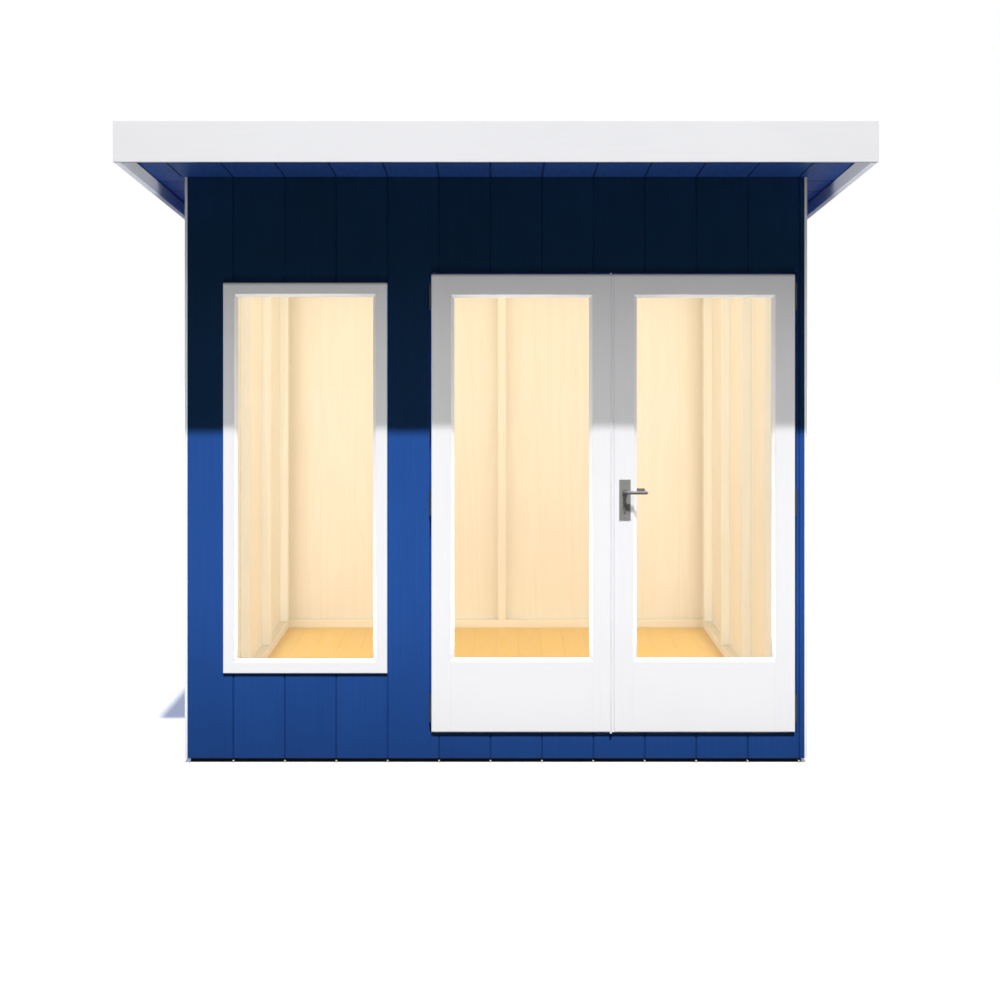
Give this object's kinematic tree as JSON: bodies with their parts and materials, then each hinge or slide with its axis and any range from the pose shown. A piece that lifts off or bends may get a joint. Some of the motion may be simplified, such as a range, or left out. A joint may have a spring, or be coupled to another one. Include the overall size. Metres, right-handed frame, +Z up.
{
  "type": "garden office pod",
  "caption": "Timber framed garden room with grooved cladding, a lean-to roof with deep front eaves, a tall fixed window and glazed doors that open outwards.",
  "frame": {"origin": "on the ground, under the centre of the roof's plan", "axes": "+X to the right and +Y to the back as seen from in front of the doors, +Z up"},
  "size_m": [2.754, 3.066, 2.459],
  "materials": {
    "cladding": "satin blue paint on timber",
    "white_paint": "satin white paint",
    "framing": "planed softwood",
    "floor_board": "oiled board",
    "dark_timber": "dark stained",
    "glass": "clear",
    "hinge_steel": "dark satin",
    "handle_steel": "satin",
    "membrane": "matt"
  },
  "bodies": {
    "pod": {"floor_bearers": "dark_timber", "floor_deck": "floor_board", "front_wall_left": "cladding", "front_wall_right": "cladding", "front_wall_over_doors": "cladding", "front_wall_under_doors": "cladding", "left_wall": "cladding", "right_wall": "cladding", "back_wall": "cladding", "corner_trims": "white_paint", "front_wall_studs": "framing", "front_wall_plates": "framing", "side_wall_studs": "framing", "side_wall_plates": "framing", "back_wall_studs": "framing", "back_wall_plates": "framing", "door_lining": "cladding", "door_head": "cladding", "door_stops": "cladding", "door_threshold": "cladding", "window_stiles": "white_paint", "window_rails": "white_paint", "window_beads": "white_paint", "window_glass": "glass", "left_frame_hinges": "hinge_steel", "right_frame_hinges": "hinge_steel", "rafters": "framing", "roof_deck": "floor_board", "roof_membrane": "membrane", "front_soffit": "cladding", "rear_soffit": "cladding", "side_soffits": "cladding", "front_fascia": "white_paint", "rear_fascia": "white_paint", "side_fascias": "white_paint"},
    "left_door": {"left_door_stiles": "white_paint", "left_door_rails": "white_paint", "left_door_beads": "white_paint", "left_door_glass": "glass", "left_door_hinges": "hinge_steel", "meeting_bead": "white_paint"},
    "right_door": {"right_door_stiles": "white_paint", "right_door_rails": "white_paint", "right_door_beads": "white_paint", "right_door_glass": "glass", "right_door_hinges": "hinge_steel", "handle_plates": "handle_steel", "lock_cylinder": "handle_steel"},
    "lever": {"lever_handle": "handle_steel"}
  },
  "joints": [
    {"name": "left_door_hinge", "type": "hinge", "parent": "pod", "child": "left_door", "pos_m": [-0.2595, -1.032, 1], "axis": [0, 0, -1], "range_deg": [0, 150]},
    {"name": "right_door_hinge", "type": "hinge", "parent": "pod", "child": "right_door", "pos_m": [1.1845, -1.032, 1], "axis": [0, 0, 1], "range_deg": [0, 150]},
    {"name": "lever_turn", "type": "hinge", "parent": "right_door", "child": "lever", "pos_m": [0.5085, -1.0165, 1.071], "axis": [0, 1, 0], "range_deg": [0, 40], "stiffness_Nm_per_rad": 1.5, "springref_deg": -17.19}
  ]
}
